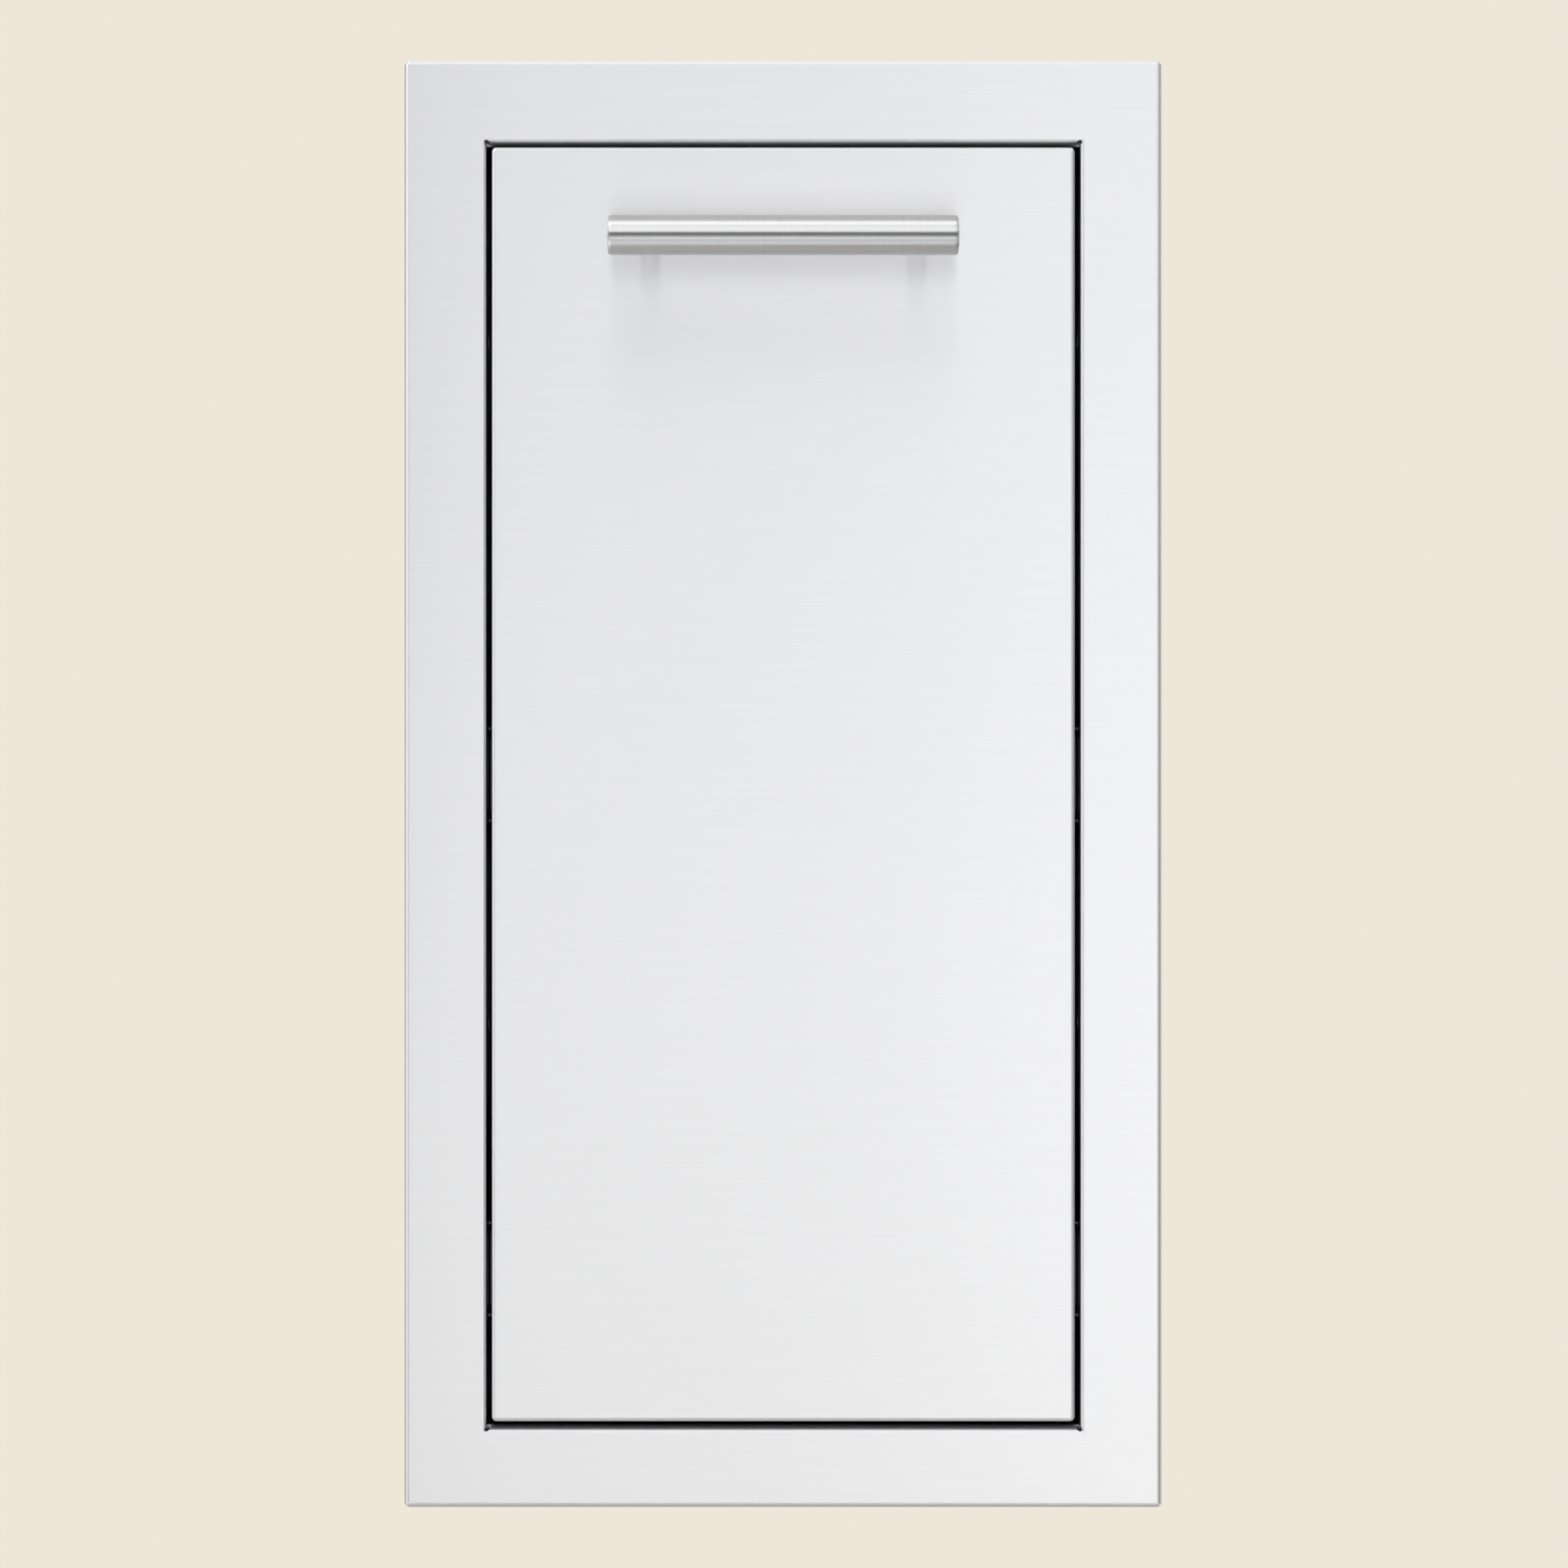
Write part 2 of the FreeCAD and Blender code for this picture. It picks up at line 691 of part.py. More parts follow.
def slides():
    cabinet_half, middle_half = size.slide_height / 2, size.middle_rail_height / 2
    drawer_half = size.drawer_rail_height / 2
    middle_end = size.middle_rail_inset + size.middle_rail_flange
    drawer_end = size.slide_thickness - size.drawer_rail_flange
    sections = {
        "cabinet_rail": channel(
            as_size(0), size.cabinet_rail_flange, cabinet_half, size.slide_sheet, size.cabinet_rail_lip
        ),
        "middle_rail": channel(
            size.middle_rail_inset, middle_end, middle_half, size.slide_sheet, size.middle_rail_lip
        ),
        "drawer_rail": channel(size.slide_thickness, drawer_end, drawer_half, size.slide_sheet),
    }
    # Each ball row runs midway between the two flanges that it rolls on
    races = {
        "outer": (cabinet_half - size.slide_sheet, middle_half, as_size(0), size.cabinet_rail_flange),
        "inner": (middle_half - size.slide_sheet, drawer_half, size.middle_rail_inset, middle_end),
    }
    balls = {race: [] for race in races}
    for level in rail_levels:
        for name, side in SIDES.items():
            prefix = f"{name}_{level}"
            made = {
                kind: rail(f"{prefix}_{kind}_bar", section, side, level, slide_start, size.slide_length)
                for kind, section in sections.items()
            }
            heads = rail_screw_places(side, level, wall_inner - size.slide_sheet, -side)
            sunk = countersinks(f"{prefix}_cabinet_sinks", heads)
            node(f"{prefix}_cabinet_rail", cut(f"{prefix}_cabinet_rail", made["cabinet_rail"], sunk))
            drivers = rail_screw_places(side, level, wall_inner - size.middle_rail_inset, side)
            access = holes(f"{prefix}_access", size.access_hole, drivers, size.slide_sheet * 2)
            node(f"{prefix}_middle_rail", cut(f"{prefix}_middle_rail", made["middle_rail"], access))
            heads = rail_screw_places(side, level, tray_half + size.slide_sheet, side)
            sunk = countersinks(f"{prefix}_drawer_sinks", heads)
            node(f"{prefix}_drawer_rail", cut(f"{prefix}_drawer_rail", made["drawer_rail"], sunk))
            for race, (outside, inside, web, end) in races.items():
                rise, depth = (outside + inside) / 2, (web + end) / 2
                places = ball_places(side, level, depth, rise)
                balls[race] += places
                inset = size.slide_sheet + size.cage_clearance
                section = channel(web + inset, end - inset, rise + size.cage_sheet / 2, size.cage_sheet)
                strip = rail(f"{prefix}_{race}_strip", section, side, level, cage_start, cage_length)
                pockets = holes(
                    f"{prefix}_{race}_pockets", ball_diameter(race, races) + size.cage_clearance, places,
                    size.cage_sheet * 2,
                )
                node(f"{prefix}_{race}_cage", cut(f"{prefix}_{race}_cage", strip, pockets))
    for race, places in balls.items():
        ball = doc.addObject("Part::Sphere", f"{race}_ball")
        bind(ball, "Radius", ball_diameter(race, races) / 2)
        node(f"{race}_cage_balls", copies(f"{race}_cage_balls", ball, places))


def ball_diameter(race, races):
    outside, inside, _, _ = races[race]
    return outside - inside - size.ball_clearance * 2


def rail_fasteners():
    places = [(side, level) for side in SIDES.values() for level in rail_levels]
    grip = size.slide_sheet + size.nut_height + size.screw_stickout
    nut = hex_nut("rail_nut")
    for kind, thickness, across, facing, nut_across in (
        ("cabinet", size.wall_sheet, wall_inner - size.slide_sheet, -1, wall_outer),
        ("drawer", size.tray_sheet, tray_half + size.slide_sheet, 1, tray_half - size.tray_sheet),
    ):
        screw = flush_screw(f"{kind}_rail_screw", grip + thickness)
        heads, seats = [], []
        for side, level in places:
            heads += rail_screw_places(side, level, across, facing * side)
            seats += rail_screw_places(side, level, nut_across, -facing * side)
        node(f"{kind}_rail_screws", copies(f"{kind}_rail_screws", screw, heads))
        node(f"{kind}_rail_nuts", copies(f"{kind}_rail_nuts", nut, seats))


def handle_places(y, axis):
    return [(spot(side * size.post_spacing / 2, y, bar_level), axis) for side in SIDES.values()]


def front_screw_places(y, axis):
    """The screws that hold the drawer and the tray to the back of the front."""
    levels = (
        drawer_low + size.front_screw_rise,
        drawer_low + size.drawer_height - size.front_screw_rise,
        tray_low + size.front_screw_rise,
    )
    return [
        (spot(side * size.front_screw_spacing / 2, y, z), axis) for side in SIDES.values() for z in levels
    ]


def drawer_front():
    skin = pan(
        "front", front_half, front_low, front_high, front_rear,
        size.front_sheet, size.front_corner, size.front_bend,
    )
    screw_hole = size.large_screw + size.screw_clearance * 2
    post_holes = holes("post_holes", screw_hole, handle_places(face, BACKWARD), size.front_sheet * 2)
    node("front_panel", cut("front_panel", skin, post_holes))

    margin = size.front_sheet + size.liner_clearance
    half, low, high = front_half - margin, front_low + margin, front_high - margin
    front = front_rear - size.liner_flange
    block = box("liner_block", (-half, half), (front, front_rear), (low, high))
    wall = size.liner_sheet
    inside = box(
        "liner_inside", (wall - half, half - wall), (front - wall, front_rear - wall),
        (low + wall, high - wall),
    )
    plug_holes = holes("plug_holes", size.plug_hole, handle_places(front_rear, BACKWARD), wall * 2)
    tray_holes = holes("liner_screw_holes", screw_hole, front_screw_places(front_rear, BACKWARD), wall * 2)
    node("front_liner", cut("front_liner", block, inside, plug_holes, tray_holes))

    head, stem = size.plug_head / 2, size.plug_hole / 2 - size.liner_clearance
    plug = turned(
        "plug",
        [
            (0, size.plug_head_height), (head - size.plug_head_height, size.plug_head_height), (head, 0),
            (stem, 0), (stem, -size.plug_stem), (0, -size.plug_stem),
        ],
    )
    node("liner_plugs", copies("liner_plugs", plug, handle_places(front_rear, BACKWARD)))

    bore, outer = size.large_screw / 2 + size.thread_clearance, size.clinch_nut_diameter / 2
    nut = turned(
        "clinch_nut",
        [(bore, 0), (outer, 0), (outer, size.clinch_nut_height), (bore, size.clinch_nut_height)],
    )
    node(
        "front_clinch_nuts",
        copies("front_clinch_nuts", nut, front_screw_places(front_rear - wall, FRONTWARD)),
    )
    length = size.tray_sheet + wall + size.clinch_nut_height + size.screw_stickout
    screw = pan_screw("front_screw", size.large_screw, size.large_head, length)
    heads = front_screw_places(front_rear + size.tray_sheet, BACKWARD)
    node("front_screws", copies("front_screws", screw, heads))


def handle_bar():
    """A round bar with slightly domed ends, turned about its own axis and laid across the front."""
    radius, half = size.bar_diameter / 2, size.bar_length / 2
    shoulder = half - size.bar_dome
    body = doc.addObject("PartDesign::Body", "bar")
    sketch = sketch_on(body, "XZ_Plane")
    dome = (radius.value**2 + size.bar_dome.value**2) / (2 * size.bar_dome.value)
    swing = math.asin(radius.value / dome)
    for sign in (1, -1):
        centre = Vector(0, sign * (half.value - dome), 0)
        circle = Part.Circle(centre, Vector(0, 0, 1), dome)
        ends = sorted((sign * math.pi / 2, sign * (math.pi / 2 - swing)))
        sketch.addGeometry(Part.ArcOfCircle(circle, *ends))
    sketch.addGeometry(Part.LineSegment(spot(radius, shoulder, 0), spot(radius, -shoulder, 0)))
    sketch.addGeometry(Part.LineSegment(spot(0, -half, 0), spot(0, half, 0)))
    for first, end, second, start in ((0, 2, 3, 2), (0, 1, 2, 1), (2, 2, 1, 2), (1, 1, 3, 1)):
        sketch.addConstraint(Sketcher.Constraint("Coincident", first, end, second, start))
    pin_point(sketch, 2, 1, radius, shoulder)
    pin_point(sketch, 2, 2, radius, -shoulder)
    pin_point(sketch, 3, 1, 0, -half)
    pin_point(sketch, 3, 2, 0, half)
    for arc in (0, 1):
        sketch.addConstraint(Sketcher.Constraint("PointOnObject", arc, 3, -2))
    turn = body.newObject("PartDesign::Revolution", "bar_turn")
    turn.Profile = sketch
    turn.ReferenceAxis = (sketch, ["V_Axis"])
    turn.Angle = 360
    place(body, 0, bar_axis, bar_level, Rotation(Vector(0, 0, 1), Vector(1, 0, 0)))

    def end_edge(bounds):
        return abs(abs(bounds.Center.x) - shoulder.value) < 1e-3 and bounds.XLength < 1e-3

    eased = rounded("bar_eased", body, size.bar_edge, end_edge)
    sockets = holes(
        "bar_sockets", size.post_diameter + size.post_clearance * 2,
        handle_places(bar_axis + radius, BACKWARD), size.post_socket + size.post_clearance,
    )
    node("handle_bar", cut("handle_bar", eased, sockets))


def handle_fixings():
    bore = size.large_screw / 2 + size.thread_clearance
    collar, shank = size.post_collar / 2, size.post_diameter / 2
    length = size.bar_standoff - size.bar_diameter / 2 + size.post_socket
    for name, side in SIDES.items():
        post = turned(
            f"{name}_post",
            [
                (bore, 0), (collar, 0), (collar, size.post_collar_height), (shank, size.post_collar_height),
                (shank, length), (0, length), (0, size.post_thread), (bore, size.post_thread),
            ],
        )
        place(post, side * size.post_spacing / 2, face, bar_level, Rotation(Vector(0, 0, 1), FRONTWARD))
        node(f"{name}_handle_post", post)
    plate_front = face + size.front_sheet
    plate_rear = plate_front + size.backing_sheet
    plate = box(
        "backing", (-size.backing_length / 2, size.backing_length / 2), (plate_front, plate_rear),
        (bar_level - size.backing_width / 2, bar_level + size.backing_width / 2),
    )
    screw_holes = holes(
        "backing_holes", size.large_screw + size.screw_clearance * 2,
        handle_places(plate_front, BACKWARD), size.backing_sheet * 2,
    )
    node("handle_backing_plate", cut("handle_backing_plate", plate, screw_holes))
    length = size.backing_sheet + size.front_sheet + size.post_thread - size.screw_stickout
    screw = pan_screw("handle_screw", size.large_screw, size.large_head, length)
    node("handle_screws", copies("handle_screws", screw, handle_places(plate_rear, BACKWARD)))


def upright_rivet_places():
    across = tray_half - size.upright_inset - size.upright_width / 2
    levels = (
        drawer_low + size.upright_rivet_rise,
        drawer_low + size.drawer_height - size.upright_rivet_rise,
        tray_low + size.upright_rivet_rise,
        tray_low + size.tray_height - size.upright_rivet_rise,
    )
    return [(spot(side * across, upright_rear, z), BACKWARD) for side in SIDES.values() for z in levels]


def folded_tray(name, low, height):
    """An open tray folded from one sheet, its rim hemmed inward to twice the sheet."""
    wall, high = size.tray_sheet, low + height
    hem_low = high - size.hem_height

    def bends(level):
        return lambda bounds: lies_at("Z", level)(bounds) or runs_along("Z")(bounds)

    block = box(f"{name}_block", (-tray_half, tray_half), (front_rear, tray_rear), (low, high))
    block = rounded(f"{name}_bends", block, size.tray_bend, bends(low))
    inside = box(
        f"{name}_inside", (wall - tray_half, tray_half - wall), (front_rear + wall, tray_rear - wall),
        (low + wall, hem_low),
    )
    inside = rounded(f"{name}_inner_bends", inside, size.tray_bend - wall, bends(low + wall))
    mouth = box(
        f"{name}_mouth", (wall * 2 - tray_half, tray_half - wall * 2),
        (front_rear + wall * 2, tray_rear - wall * 2), (hem_low, high + wall),
    )
    return cut(f"{name}_tray", block, inside, mouth)


def trays():
    screw_hole = size.large_screw + size.screw_clearance * 2
    front_screws = front_screw_places(front_rear, BACKWARD)
    front_holes = holes("tray_front_holes", screw_hole, front_screws, size.tray_sheet * 3)
    rivet_holes = holes(
        "upright_holes", size.rivet_shank + size.screw_clearance, upright_rivet_places(),
        size.upright_thickness + size.tray_sheet * 3,
    )
    rails = {
        level: holes(
            f"{level}_tray_rail_holes", size.small_screw + size.screw_clearance * 2,
            [hole for side in SIDES.values() for hole in rail_screw_places(side, level, tray_half, side)],
            size.tray_sheet * 3,
        )
        for level in rail_levels
    }
    across = tray_half - size.drain_inset
    drains = holes(
        "drains", size.drawer_drain,
        [
            (spot(side * across, y, drawer_low), UP)
            for side in SIDES.values()
            for y in (front_rear + size.drain_inset, tray_rear - size.drain_inset)
        ],
        size.tray_sheet * 2,
    )
    drawer = folded_tray("drawer", drawer_low, size.drawer_height)
    node("lower_drawer", cut("lower_drawer", drawer, front_holes, rivet_holes, rails["lower"], drains))
    tray = folded_tray("tray", tray_low, size.tray_height)
    shaft = [(spot(0, spindle_axis, tray_low), UP)]
    shaft_hole = holes("shaft_hole", size.floor_hole, shaft, size.tray_sheet * 2)
    base_holes = holes(
        "tray_base_holes", size.small_screw + size.screw_clearance * 2, base_screw_places(tray_low, UP),
        size.tray_sheet * 2,
    )
    tools = (front_holes, rivet_holes, rails["upper"], shaft_hole, base_holes)
    node("upper_tray", cut("upper_tray", tray, *tools))
    for name, side in SIDES.items():
        outer = tray_half - size.upright_inset
        bar = box(
            f"{name}_upright_bar", (side * outer, side * (outer - size.upright_width)),
            (tray_rear, upright_rear), (drawer_low + size.tray_bend, tray_low + size.tray_height),
        )
        node(f"{name}_rear_upright", cut(f"{name}_rear_upright", bar, rivet_holes))
    fastener = rivet("upright_rivet", size.upright_thickness + size.tray_sheet)
    node("upright_rivets", copies("upright_rivets", fastener, upright_rivet_places()))


def base_screw_places(z, axis):
    count = int(size.base_screw_count.value)
    radius = size.base_screw_circle / 2
    angles = [math.pi / 2 + 2 * math.pi * step / count for step in range(count)]
    return [
        (spot(radius * math.cos(angle), spindle_axis + radius * math.sin(angle), z), axis)
        for angle in angles
    ]


def spindle_seat():
    """The screwed-down base of the towel spindle and the plastic bush pressed into it."""
    shaft = size.shaft_diameter / 2
    bore, boss, rim = shaft + size.bush_wall, size.boss_diameter / 2, size.base_diameter / 2
    base = turned(
        "base",
        [
            (bore, 0), (rim, 0), (rim, size.base_sheet), (boss, size.base_sheet),
            (boss, size.boss_height), (bore, size.boss_height),
        ],
    )
    place(base, 0, spindle_axis, tray_floor)
    screw_holes = holes(
        "base_holes", size.small_screw + size.screw_clearance * 2, base_screw_places(tray_floor, UP),
        size.base_sheet * 2,
    )
    node("spindle_base", cut("spindle_base", base, screw_holes))

    inner, outer = shaft + size.shaft_clearance, bore - size.bush_clearance
    flange, top = size.bush_flange / 2, size.boss_height + size.bush_flange_height
    bush = turned(
        "bush",
        [
            (inner, 0), (outer, 0), (outer, size.boss_height), (flange, size.boss_height),
            (flange, top), (inner, top),
        ],
    )
    place(bush, 0, spindle_axis, tray_floor)
    node("spindle_bush", bush)

    length = size.base_sheet + size.tray_sheet + size.nut_height + size.screw_stickout
    screw = pan_screw("base_screw", size.small_screw, size.small_head, length)
    node(
        "spindle_base_screws",
        copies("spindle_base_screws", screw, base_screw_places(tray_floor + size.base_sheet, UP)),
    )
    seats = base_screw_places(tray_low, DOWN)
    node("spindle_base_nuts", copies("spindle_base_nuts", hex_nut("base_nut"), seats))


def towel_spindle():
    """The upright that turns in the bush: shaft, roll plate, knob and the ring that keeps it down."""
    radius = size.shaft_diameter / 2
    neck = radius - size.ring_groove
    groove_high = -size.tray_sheet - size.ring_drop
    groove_low = groove_high - size.ring_sheet - size.ring_clearance * 2
    tail = groove_low - size.shaft_tail
    shaft = turned(
        "shaft",
        [
            (0, tail), (radius, tail), (radius, groove_low), (neck, groove_low), (neck, groove_high),
            (radius, groove_high), (radius, size.shaft_height), (0, size.shaft_height),
        ],
    )
    place(shaft, 0, spindle_axis, tray_floor)
    node("spindle_shaft", shaft)

    inner, outer = neck + size.ring_clearance, size.ring_diameter / 2
    ring = turned("ring", [(inner, 0), (outer, 0), (outer, size.ring_sheet), (inner, size.ring_sheet)])
    ring_low = tray_floor + groove_low + size.ring_clearance
    place(ring, 0, spindle_axis, ring_low)
    mouth = box(
        "ring_mouth", (-inner, inner), (spindle_axis - size.ring_diameter, spindle_axis),
        (ring_low - size.ring_sheet, ring_low + size.ring_sheet * 2),
    )
    node("retaining_ring", cut("retaining_ring", ring, mouth))

    bore, hub, rim = radius + size.bush_clearance, size.hub_diameter / 2, size.plate_diameter / 2
    top = size.plate_sheet + size.hub_height
    plate_low = tray_floor + size.boss_height + size.bush_flange_height + size.plate_lift
    plate = turned(
        "plate",
        [(bore, 0), (rim, 0), (rim, size.plate_sheet), (hub, size.plate_sheet), (hub, top), (bore, top)],
    )
    place(plate, 0, spindle_axis, plate_low)
    screw_level = plate_low + size.plate_sheet + size.hub_height / 2
    screw_hole = holes(
        "set_screw_hole", size.set_screw + size.thread_clearance * 2,
        [(spot(hub, spindle_axis, screw_level), Vector(1, 0, 0))], hub - radius,
    )
    node("roll_plate", cut("roll_plate", plate, screw_hole))
    grub = size.set_screw / 2
    length = hub - bore
    screw = turned("grub", [(0, 0), (grub, 0), (grub, length), (0, length)])
    place(screw, bore, spindle_axis, screw_level, Rotation(Vector(0, 0, 1), Vector(1, 0, 0)))
    node("roll_plate_set_screw", screw)

    outer, height = size.knob_diameter / 2, size.knob_height
    ceiling = height - size.knob_cover
    knob = turned(
        "knob", [(bore, 0), (outer, 0), (outer, height), (0, height), (0, ceiling), (bore, ceiling)]
    )
    knob_low = tray_floor + size.shaft_height - ceiling
    place(knob, 0, spindle_axis, knob_low)
    node("spindle_knob", rounded("spindle_knob", knob, size.knob_round, lies_at("Z", knob_low + height)))


face_frame()
cabinet_panels()
rear_bumpers()
slides()
rail_fasteners()
drawer_front()
handle_bar()
handle_fixings()
trays()
spindle_seat()
towel_spindle()
doc.recompute()

failed = [thing.Label for thing in doc.Objects if {"Invalid", "Error"} & set(thing.State)]
failed += [label for label, thing in nodes.items() if thing.Shape.isNull() or not thing.Shape.isValid()]
if failed:
    raise RuntimeError(f"pieces that failed: {failed}")
os.makedirs("parts", exist_ok=True)
for label, thing in nodes.items():
    thing.Shape.exportStep(f"parts/{label}.step")
print(f"{len(nodes)} pieces written")
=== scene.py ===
import json
import math

import bpy
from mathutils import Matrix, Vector


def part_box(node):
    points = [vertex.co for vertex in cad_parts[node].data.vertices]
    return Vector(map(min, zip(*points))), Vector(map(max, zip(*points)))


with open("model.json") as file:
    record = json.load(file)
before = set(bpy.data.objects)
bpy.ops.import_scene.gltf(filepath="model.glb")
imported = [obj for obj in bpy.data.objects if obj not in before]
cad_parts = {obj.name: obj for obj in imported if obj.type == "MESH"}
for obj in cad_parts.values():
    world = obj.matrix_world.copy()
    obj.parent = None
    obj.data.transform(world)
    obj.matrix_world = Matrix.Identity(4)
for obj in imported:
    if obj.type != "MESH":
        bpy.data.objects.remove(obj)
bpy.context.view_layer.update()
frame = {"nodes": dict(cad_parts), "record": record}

# Lengths are in metres and angles in degrees, except for the camera's sensor, which is in millimetres

# The photograph is square and looks straight at the middle of the face frame, one pixel off its centre
PHOTO_PIXELS = 1932
CAMERA_DISTANCE = 3.2
VIEW_WIDTH = 0.7488
VIEW_SHIFT = 1 / PHOTO_PIXELS
SENSOR_WIDTH = 36.0

# Backdrop and light
BACKGROUND = (0.863, 0.791, 0.701, 1.0)
WORLD_LIGHT = (0.92, 0.95, 1.0, 1.0)
WORLD_STRENGTH = 0.45
LIGHT_DISTANCE = 6.0
CARD_DISTANCE = 1.95

# The floor thins out between these two shares of its half width and depth
FLOOR_DROP = 0.35
FLOOR_CORNERS = ((-1.3, -0.9), (1.3, 1.3))
FLOOR_FULL = 0.55
FLOOR_GONE = 1.0

# The dark studio round the unit
SHELL_RADIUS = 14.0
SHELL_AZIMUTHS = range(-130, 131, 10)
SHELL_ELEVATIONS = range(-80, 91, 10)

# The range of a noise over which colour and roughness run from one end to the other
NOISE_LOW = 0.3
NOISE_HIGH = 0.7
BAND_SHARE = 0.4
MICRON = 0.000001

frame_low, frame_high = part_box("face_frame")
FACE = frame_low.y
TARGET = Vector((0.0, FACE, (frame_low.z + frame_high.z) / 2))


# Finishes


class Finish:
    """A material under construction: its node tree, its shader and the few node shapes that all finishes use."""

    def __init__(self, name):
        self.material = bpy.data.materials.new(name)
        self.material.use_nodes = True
        self.tree = self.material.node_tree
        self.shader = self.tree.nodes["Principled BSDF"]
        self.coordinates = self.add("ShaderNodeTexCoord").outputs["Object"]

    def add(self, kind, **settings):
        made = self.tree.nodes.new(kind)
        for key, value in settings.items():
            setattr(made, key, value)
        return made

    def link(self, source, target):
        self.tree.links.new(source, target)

    def set(self, **values):
        """Constants on the shader's own sockets."""
        for key, value in values.items():
            self.shader.inputs[key.replace("_", " ").title()].default_value = value

    def noise(self, per_metre, detail=2.0):
        """Noise with its own frequency along each axis, in features per metre."""
        mapping = self.add("ShaderNodeMapping")
        mapping.inputs["Scale"].default_value = per_metre
        self.link(self.coordinates, mapping.inputs["Vector"])
        texture = self.add("ShaderNodeTexNoise")
        texture.inputs["Scale"].default_value = 1.0
        texture.inputs["Detail"].default_value = detail
        self.link(mapping.outputs["Vector"], texture.inputs["Vector"])
        return texture.outputs["Fac"]

    def blend(self, one, other, share):
        """Two noises mixed, the second one with the given share."""
        mixer = self.add("ShaderNodeMix", data_type="FLOAT")
        mixer.inputs["Factor"].default_value = share
        self.link(one, mixer.inputs["A"])
        self.link(other, mixer.inputs["B"])
        return mixer.outputs["Result"]

    def color(self, source, dark, light):
        """Colour that follows a noise."""
        ramp = self.add("ShaderNodeValToRGB")
        low_end, high_end = ramp.color_ramp.elements
        low_end.position, low_end.color = NOISE_LOW, (*dark, 1.0)
        high_end.position, high_end.color = NOISE_HIGH, (*light, 1.0)
        self.link(source, ramp.inputs["Fac"])
        self.link(ramp.outputs["Color"], self.shader.inputs["Base Color"])

    def roughness(self, source, middle, variation):
        """Roughness that follows a noise, by a share of its middle value to either side."""
        ranged = self.add("ShaderNodeMapRange")
        ranged.inputs["From Min"].default_value = NOISE_LOW
        ranged.inputs["From Max"].default_value = NOISE_HIGH
        ranged.inputs["To Min"].default_value = middle * (1 - variation)
        ranged.inputs["To Max"].default_value = middle * (1 + variation)
        self.link(source, ranged.inputs["Value"])
        self.link(ranged.outputs["Result"], self.shader.inputs["Roughness"])

    def bump(self, source, depth):
        bump = self.add("ShaderNodeBump")
        bump.inputs["Distance"].default_value = depth
        self.link(source, bump.inputs["Height"])
        self.link(bump.outputs["Normal"], self.shader.inputs["Normal"])

    def across_grain(self, direction, anisotropy):
        """Reflections smear across the grain, along this direction."""
        vector = self.add("ShaderNodeCombineXYZ")
        for socket, amount in zip(vector.inputs, direction):
            socket.default_value = amount
        self.link(vector.outputs["Vector"], self.shader.inputs["Tangent"])
        self.set(anisotropic=anisotropy)


def shade(color, factor):
    return tuple(channel * factor for channel in color)


def brushed(name, color, fine, broad, across, roughness, anisotropy, variation, depth):
    """Metal with a directional grain: fine streaks over broad faint bands. Its roughness varies twice as much as its
    colour."""
    finish = Finish(name)
    streaks = finish.noise(fine, detail=3.0)
    bands = finish.noise(broad)
    grain = finish.blend(streaks, bands, BAND_SHARE)
    finish.set(metallic=1.0)
    finish.color(grain, shade(color, 1 - variation), shade(color, 1 + variation))
    finish.roughness(grain, roughness, 2 * variation)
    finish.bump(streaks, depth)
    finish.across_grain(across, anisotropy)
    return finish.material


def face_steel():
    return brushed(
        "face_steel", (0.76, 0.763, 0.774), fine=(14, 1300, 1300), broad=(5, 260, 260),
        across=(0, 0.05, 1), roughness=0.30, anisotropy=1.0, variation=0.015, depth=0.4 * MICRON,
    )


def bar_steel():
    return brushed(
        "bar_steel", (0.64, 0.64, 0.645), fine=(1500, 30, 30), broad=(240, 14, 14),
        across=(1, 0.03, 0.02), roughness=0.38, anisotropy=1.0, variation=0.05, depth=3 * MICRON,
    )


def sheet_steel(name, color, fine):
    return brushed(
        name, color, fine=fine, broad=(12, 12, 12),
        across=(1, 0.05, 0.9), roughness=0.40, anisotropy=0.6, variation=0.08, depth=4 * MICRON,
    )


def turned_steel():
    return brushed(
        "turned_steel", (0.74, 0.74, 0.75), fine=(40, 40, 1600), broad=(20, 20, 200),
        across=(0.03, 0.02, 1), roughness=0.36, anisotropy=0.7, variation=0.03, depth=2 * MICRON,
    )


def plated(name, dark, light, roughness, depth):
    """Plated or plain small steel parts: a cloudy tint and a fine satin tooth."""
    finish = Finish(name)
    cloud = finish.noise((45, 45, 45), detail=4.0)
    tooth = finish.noise((1400, 1400, 1400))
    finish.set(metallic=1.0)
    finish.color(cloud, dark, light)
    finish.roughness(finish.blend(cloud, tooth, share=0.5), roughness, variation=0.2)
    finish.bump(tooth, depth)
    return finish.material


# Near-black slides: partly a black coating on the slides, partly painted shade that keeps the side gaps dark where
# the slides show through them
def zinc_plate():
    return plated(
        "zinc_plate", dark=(0.055, 0.056, 0.06), light=(0.085, 0.087, 0.092), roughness=0.36, depth=2 * MICRON,
    )


def cage_steel():
    return plated(
        "cage_steel", dark=(0.50, 0.47, 0.38), light=(0.62, 0.60, 0.50), roughness=0.34, depth=2 * MICRON,
    )


def bearing_steel():
    return plated(
        "bearing_steel", dark=(0.78, 0.78, 0.80), light=(0.84, 0.84, 0.86), roughness=0.1, depth=0.5 * MICRON,
    )


def fastener_steel():
    return plated(
        "fastener_steel", dark=(0.55, 0.55, 0.56), light=(0.66, 0.66, 0.67), roughness=0.32, depth=3 * MICRON,
    )


